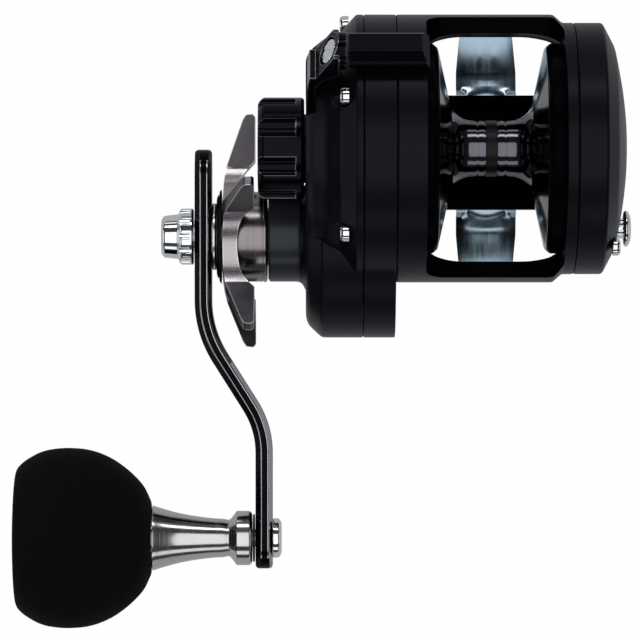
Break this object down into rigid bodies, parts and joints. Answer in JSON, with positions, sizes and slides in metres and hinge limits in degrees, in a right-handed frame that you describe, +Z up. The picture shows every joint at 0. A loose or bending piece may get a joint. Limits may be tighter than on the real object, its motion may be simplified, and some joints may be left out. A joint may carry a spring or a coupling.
{
  "type": "trolling reel",
  "caption": "Star-drag conventional fishing reel with an open frame, offset power handle, foam ball knob, cast control, clutch lever and a rod-seat foot.",
  "frame": {"origin": "centre of the reel foot's flat underside", "axes": "+X along the spool axis away from the handle, +Y along the rod towards the angler, +Z up from the rod"},
  "size_m": [0.1651, 0.1637, 0.0815],
  "materials": {
    "anodised_black": "satin black anodised aluminium",
    "gloss_black": "polished black anodised aluminium",
    "pewter": "brushed, gunmetal anodised",
    "chrome": "polished chrome plate",
    "foot_silver": "polished, blue-silver",
    "gun_silver": "turned, gunmetal silver",
    "steel": "ground stainless steel",
    "brass": "machined brass",
    "foam": "closed-cell EVA foam, matt",
    "black_rubber": "soft rubber",
    "carbon": "woven carbon fibre drag washer"
  },
  "bodies": {
    "reel_body": {"frame": "anodised_black", "gear_side_cover": "anodised_black", "gear_side_plate": "anodised_black", "palm_side_plate": "anodised_black", "reel_foot": "foot_silver", "foot_screw_1": "steel", "foot_screw_2": "steel", "cover_screw_1": "chrome", "cover_screw_2": "chrome", "cover_screw_3": "chrome", "palm_screw_1": "chrome", "palm_screw_2": "chrome", "palm_screw_3": "chrome", "spool_bearing_left": "steel", "spool_bearing_right": "steel", "pinion_bearing": "steel", "one_way_bearing": "steel", "main_shaft_bearing": "steel", "yoke_post_1": "steel", "yoke_post_2": "steel", "yoke_spring_1": "steel", "yoke_spring_2": "steel"},
    "drive": {"main_shaft": "steel", "main_gear": "brass", "drag_washer_1": "carbon", "drag_washer_2": "carbon", "drag_plate_1": "steel", "pressure_plate": "steel", "one_way_sleeve": "steel", "ratchet_wheel": "steel", "spring_washer": "steel", "cone_washer": "anodised_black", "arm_collar": "gun_silver", "handle_arm": "gloss_black", "handle_nut": "chrome", "knob_pin": "chrome", "knob_washer": "black_rubber", "knob_bearing_inner": "steel", "knob_bearing_outer": "steel", "knob_pin_screw": "steel"},
    "knob": {"knob_sleeve": "gun_silver", "knob_grip": "foam"},
    "star": {"star_wheel": "pewter"},
    "nut": {"drag_nut": "brass"},
    "spool_line": {"spool": "gloss_black", "line_band": "black_rubber", "spool_shaft": "steel", "clutch_cross_pin": "steel", "click_gear": "brass"},
    "lever": {"clutch_lever": "gloss_black", "thumb_bar": "anodised_black", "lever_screw": "chrome", "clutch_link_pin": "steel", "clutch_cam": "steel"},
    "yoke_fork": {"yoke": "steel"},
    "pinion_gear": {"pinion": "brass"},
    "cast_cap": {"cast_control_cap": "anodised_black"},
    "pawl": {"ratchet_pawl": "steel"},
    "clicker": {"click_tongue": "steel", "click_knob": "chrome"}
  },
  "joints": [
    {"name": "handle_turn", "type": "hinge", "parent": "reel_body", "child": "drive", "pos_m": [0, -0.0232, 0.0275], "axis": [1, 0, 0], "continuous": true},
    {"name": "knob_spin", "type": "hinge", "parent": "drive", "child": "knob", "pos_m": [0, -0.1042, 0.0275], "axis": [1, 0, 0], "continuous": true},
    {"name": "star_turn", "type": "hinge", "parent": "drive", "child": "star", "pos_m": [0, -0.0232, 0.0275], "axis": [1, 0, 0], "range_deg": [-270, 90]},
    {"name": "drag_nut_slide", "type": "slide", "parent": "star", "child": "nut", "axis": [1, 0, 0], "range_m": [-0.00075, 0.00025]},
    {"name": "spool_spin", "type": "hinge", "parent": "reel_body", "child": "spool_line", "pos_m": [0, 0, 0.04], "axis": [1, 0, 0], "continuous": true},
    {"name": "clutch_lever_turn", "type": "hinge", "parent": "reel_body", "child": "lever", "pos_m": [0, 0, 0.04], "axis": [-1, 0, 0], "range_deg": [0, 25]},
    {"name": "yoke_slide", "type": "slide", "parent": "reel_body", "child": "yoke_fork", "axis": [-1, 0, 0], "range_m": [0, 0.0022], "deforming": ["yoke_spring_1", "yoke_spring_2"]},
    {"name": "pinion_spin", "type": "hinge", "parent": "yoke_fork", "child": "pinion_gear", "pos_m": [0, 0, 0.04], "axis": [1, 0, 0], "continuous": true},
    {"name": "cast_control_turn", "type": "hinge", "parent": "reel_body", "child": "cast_cap", "pos_m": [0, 0, 0.04], "axis": [1, 0, 0], "range_deg": [-180, 180]},
    {"name": "pawl_engage", "type": "hinge", "parent": "reel_body", "child": "pawl", "pos_m": [0, -0.04219, 0.02816], "axis": [1, 0, 0], "range_deg": [0, 10]},
    {"name": "click_slide", "type": "slide", "parent": "reel_body", "child": "clicker", "axis": [0, 1, 0], "range_m": [0, 0.002]}
  ],
  "couplings": [
    {"joint": "drag_nut_slide", "follows": "star_turn", "m_per_rad": 0.00015915},
    {"joint": "spool_spin", "follows": "handle_turn", "ratio": -5.0833},
    {"joint": "pinion_spin", "follows": "handle_turn", "ratio": -5.0833},
    {"joint": "yoke_slide", "follows": "clutch_lever_turn", "m_per_rad": 0.005042}
  ]
}
